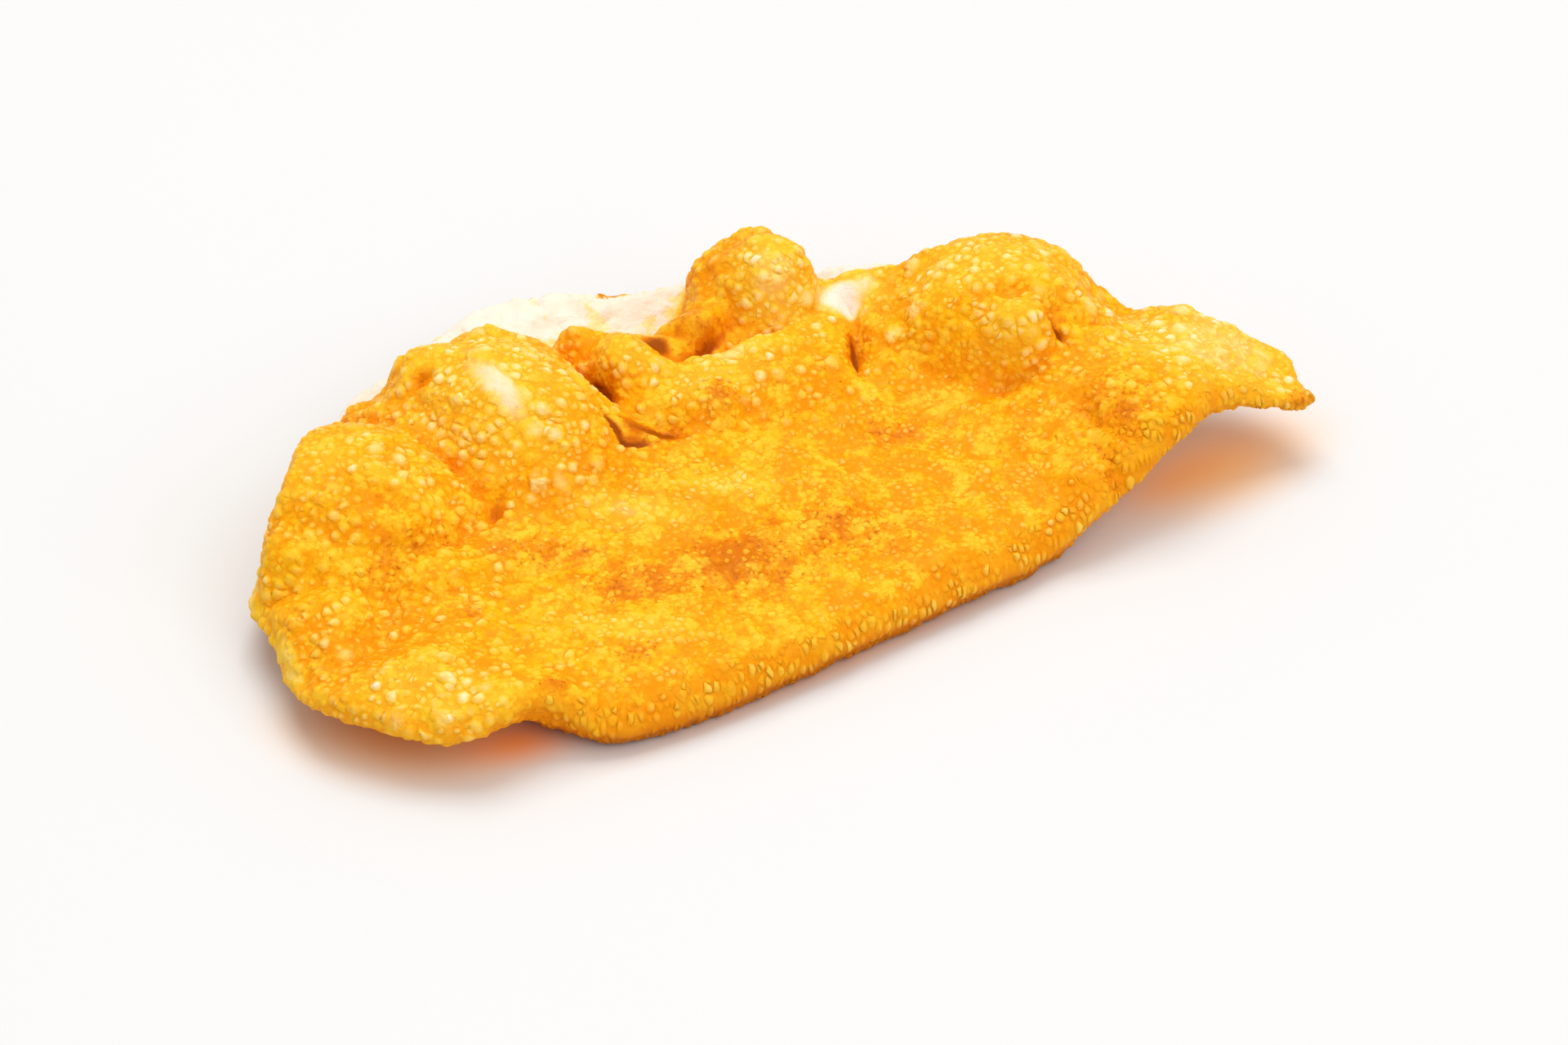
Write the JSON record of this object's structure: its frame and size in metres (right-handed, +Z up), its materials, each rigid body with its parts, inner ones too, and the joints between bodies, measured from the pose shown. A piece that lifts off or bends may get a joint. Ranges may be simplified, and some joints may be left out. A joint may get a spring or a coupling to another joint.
{
  "type": "cheburek",
  "caption": "Deep-fried half-moon turnover with a straight folded front, a blistered puffed crust and a thin sealed back rim.",
  "frame": {"origin": "on the surface that the cheburek rests on, below the middle of its bounding box", "axes": "+X along the fold towards the raised pointed corner, +Y from the fold to the sealed rim, +Z up"},
  "size_m": [0.2424, 0.139, 0.0435],
  "materials": {
    "crust": "golden fried dough, satin with a thin coat of oil, pale at the sealed rim and brown in the creases"
  },
  "bodies": {
    "root": {"crust": "crust"}
  },
  "joints": []
}
